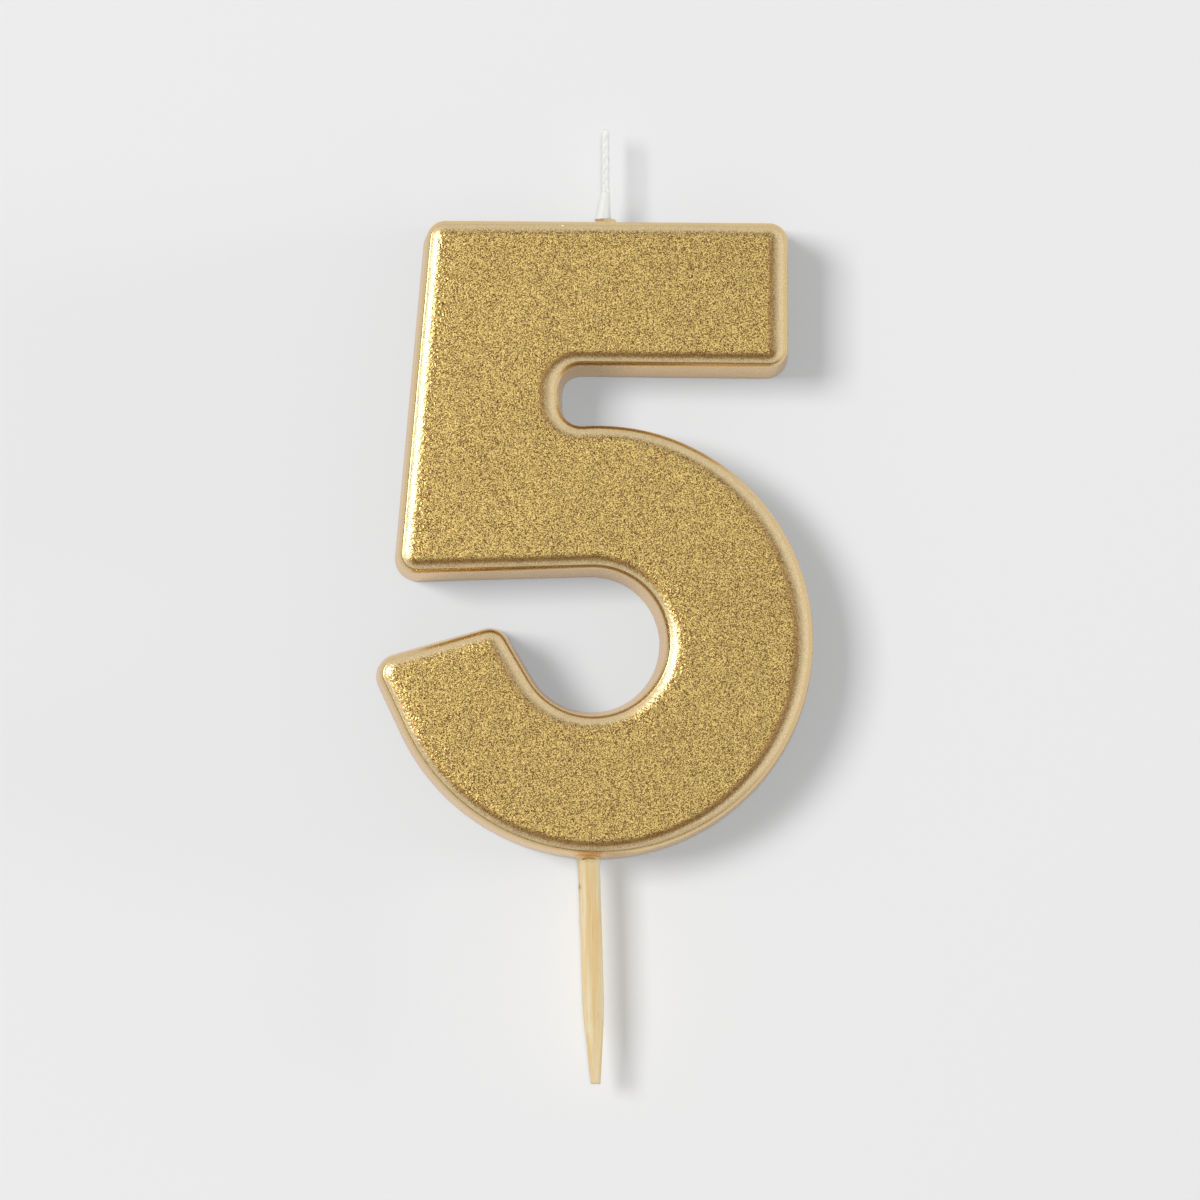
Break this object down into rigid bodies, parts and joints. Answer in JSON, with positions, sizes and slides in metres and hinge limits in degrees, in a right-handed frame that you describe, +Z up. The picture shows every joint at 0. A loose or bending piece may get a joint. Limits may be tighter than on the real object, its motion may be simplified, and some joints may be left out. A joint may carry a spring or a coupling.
{
  "type": "number birthday candle",
  "caption": "Upright numeral 5 birthday candle in wax with a gold glitter front, a cotton wick and a blunt wooden pick for the cake.",
  "frame": {"origin": "on the axis of the pick, where the bare wood starts below its gold collar, at the middle of the thickness", "axes": "+Z up, from the pick towards the wick; the numbered front faces -Y; +X to the right when looking at the front"},
  "size_m": [0.0448, 0.009, 0.0971],
  "materials": {
    "wax": "waxy",
    "gold_lacquer": "satin gold lacquer",
    "gold_glitter": "fine glitter",
    "cotton_wick": "braided cotton",
    "clear_wax": "translucent wax",
    "pale_wood": "bare wood"
  },
  "bodies": {
    "root": {"wax_body": "wax", "gold_coat": "gold_lacquer", "glitter_face": "gold_glitter", "wick": "cotton_wick", "wick_wax": "clear_wax", "pick": "pale_wood"}
  },
  "joints": []
}
